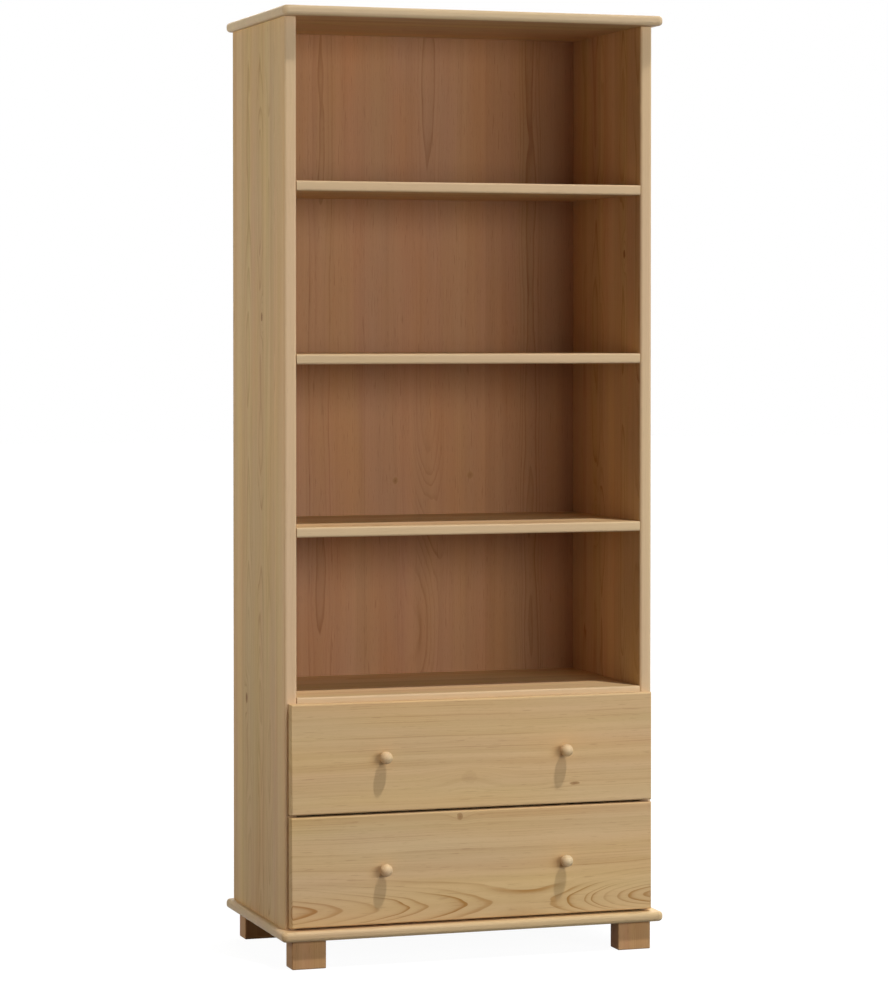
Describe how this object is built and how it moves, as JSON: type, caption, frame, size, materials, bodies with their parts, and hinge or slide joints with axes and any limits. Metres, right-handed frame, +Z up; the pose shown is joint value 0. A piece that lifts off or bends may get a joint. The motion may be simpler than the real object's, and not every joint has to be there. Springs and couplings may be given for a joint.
{
  "type": "bookcase with bottom drawers",
  "caption": "Tall open-front pine bookcase with a closed back, shelves over knobbed drawers on roller runners, rounded top and base boards, and block feet.",
  "frame": {"origin": "on the floor, at the middle of the width and of the whole depth", "axes": "+X to the right seen from the front, +Y towards the back, +Z up"},
  "size_m": [0.805, 0.4506, 1.897],
  "materials": {
    "stained_pine": "solid pine, honey-brown stain under satin lacquer",
    "plain_pine": "planed pine, clear matt",
    "back_veneer": "pine-veneered board, brown stain, matt",
    "drawer_bottom_board": "thin board, matt",
    "dowel_wood": "raw hardwood",
    "coated_steel": "folded sheet steel, off-white powder coat",
    "roller_nylon": "moulded nylon",
    "zinc_plated_steel": "bright zinc plate",
    "nail_steel": "bare steel"
  },
  "bodies": {
    "root": {"back_nails": "nail_steel", "back_panel": "back_veneer", "base_board": "stained_pine", "base_screws": "zinc_plated_steel", "carcass_dowels": "dowel_wood", "drawer_bay_board": "stained_pine", "foot_front_left": "stained_pine", "foot_front_right": "stained_pine", "foot_rear_left": "stained_pine", "foot_rear_right": "stained_pine", "foot_screws": "zinc_plated_steel", "left_side_panel": "stained_pine", "lower_runner_left": "coated_steel", "lower_runner_right": "coated_steel", "right_side_panel": "stained_pine", "runner_screws": "zinc_plated_steel", "shelf_dowels": "dowel_wood", "shelf_lower": "stained_pine", "shelf_middle": "stained_pine", "shelf_upper": "stained_pine", "top_board": "stained_pine", "upper_runner_left": "coated_steel", "upper_runner_right": "coated_steel"},
    "upper_drawer": {"upper_drawer_back": "plain_pine", "upper_drawer_bottom": "drawer_bottom_board", "upper_drawer_dowels": "dowel_wood", "upper_drawer_front": "stained_pine", "upper_drawer_front_screws": "zinc_plated_steel", "upper_drawer_inner_front": "plain_pine", "upper_drawer_knob_left": "stained_pine", "upper_drawer_knob_right": "stained_pine", "upper_drawer_knob_screws": "zinc_plated_steel", "upper_drawer_left_side": "plain_pine", "upper_drawer_right_side": "plain_pine", "upper_drawer_slide_left": "coated_steel", "upper_drawer_slide_right": "coated_steel", "upper_drawer_slide_screws": "zinc_plated_steel"},
    "upper_front_rollers": {"upper_front_roller_left": "roller_nylon", "upper_front_roller_right": "roller_nylon"},
    "upper_rear_rollers": {"upper_drawer_rear_roller_left": "roller_nylon", "upper_drawer_rear_roller_right": "roller_nylon"},
    "lower_drawer": {"lower_drawer_back": "plain_pine", "lower_drawer_bottom": "drawer_bottom_board", "lower_drawer_dowels": "dowel_wood", "lower_drawer_front": "stained_pine", "lower_drawer_front_screws": "zinc_plated_steel", "lower_drawer_inner_front": "plain_pine", "lower_drawer_knob_left": "stained_pine", "lower_drawer_knob_right": "stained_pine", "lower_drawer_knob_screws": "zinc_plated_steel", "lower_drawer_left_side": "plain_pine", "lower_drawer_right_side": "plain_pine", "lower_drawer_slide_left": "coated_steel", "lower_drawer_slide_right": "coated_steel", "lower_drawer_slide_screws": "zinc_plated_steel"},
    "lower_front_rollers": {"lower_front_roller_left": "roller_nylon", "lower_front_roller_right": "roller_nylon"},
    "lower_rear_rollers": {"lower_drawer_rear_roller_left": "roller_nylon", "lower_drawer_rear_roller_right": "roller_nylon"}
  },
  "joints": [
    {"name": "upper_drawer_slide", "type": "slide", "parent": "root", "child": "upper_drawer", "axis": [0, -1, 0], "range_m": [0, 0.26]},
    {"name": "lower_drawer_slide", "type": "slide", "parent": "root", "child": "lower_drawer", "axis": [0, -1, 0], "range_m": [0, 0.26]},
    {"name": "upper_front_roller_spin", "type": "hinge", "parent": "root", "child": "upper_front_rollers", "pos_m": [0, -0.15775, 0.3337], "axis": [1, 0, 0], "continuous": true},
    {"name": "upper_rear_roller_spin", "type": "hinge", "parent": "upper_drawer", "child": "upper_rear_rollers", "pos_m": [0, 0.16425, 0.3304], "axis": [1, 0, 0], "continuous": true},
    {"name": "lower_front_roller_spin", "type": "hinge", "parent": "root", "child": "lower_front_rollers", "pos_m": [0, -0.15775, 0.1102], "axis": [1, 0, 0], "continuous": true},
    {"name": "lower_rear_roller_spin", "type": "hinge", "parent": "lower_drawer", "child": "lower_rear_rollers", "pos_m": [0, 0.16425, 0.1069], "axis": [1, 0, 0], "continuous": true}
  ],
  "couplings": [
    {"joint": "upper_front_roller_spin", "follows": "upper_drawer_slide", "rad_per_m": 99.01},
    {"joint": "upper_rear_roller_spin", "follows": "upper_drawer_slide", "rad_per_m": 99.01},
    {"joint": "lower_front_roller_spin", "follows": "lower_drawer_slide", "rad_per_m": 99.01},
    {"joint": "lower_rear_roller_spin", "follows": "lower_drawer_slide", "rad_per_m": 99.01}
  ]
}
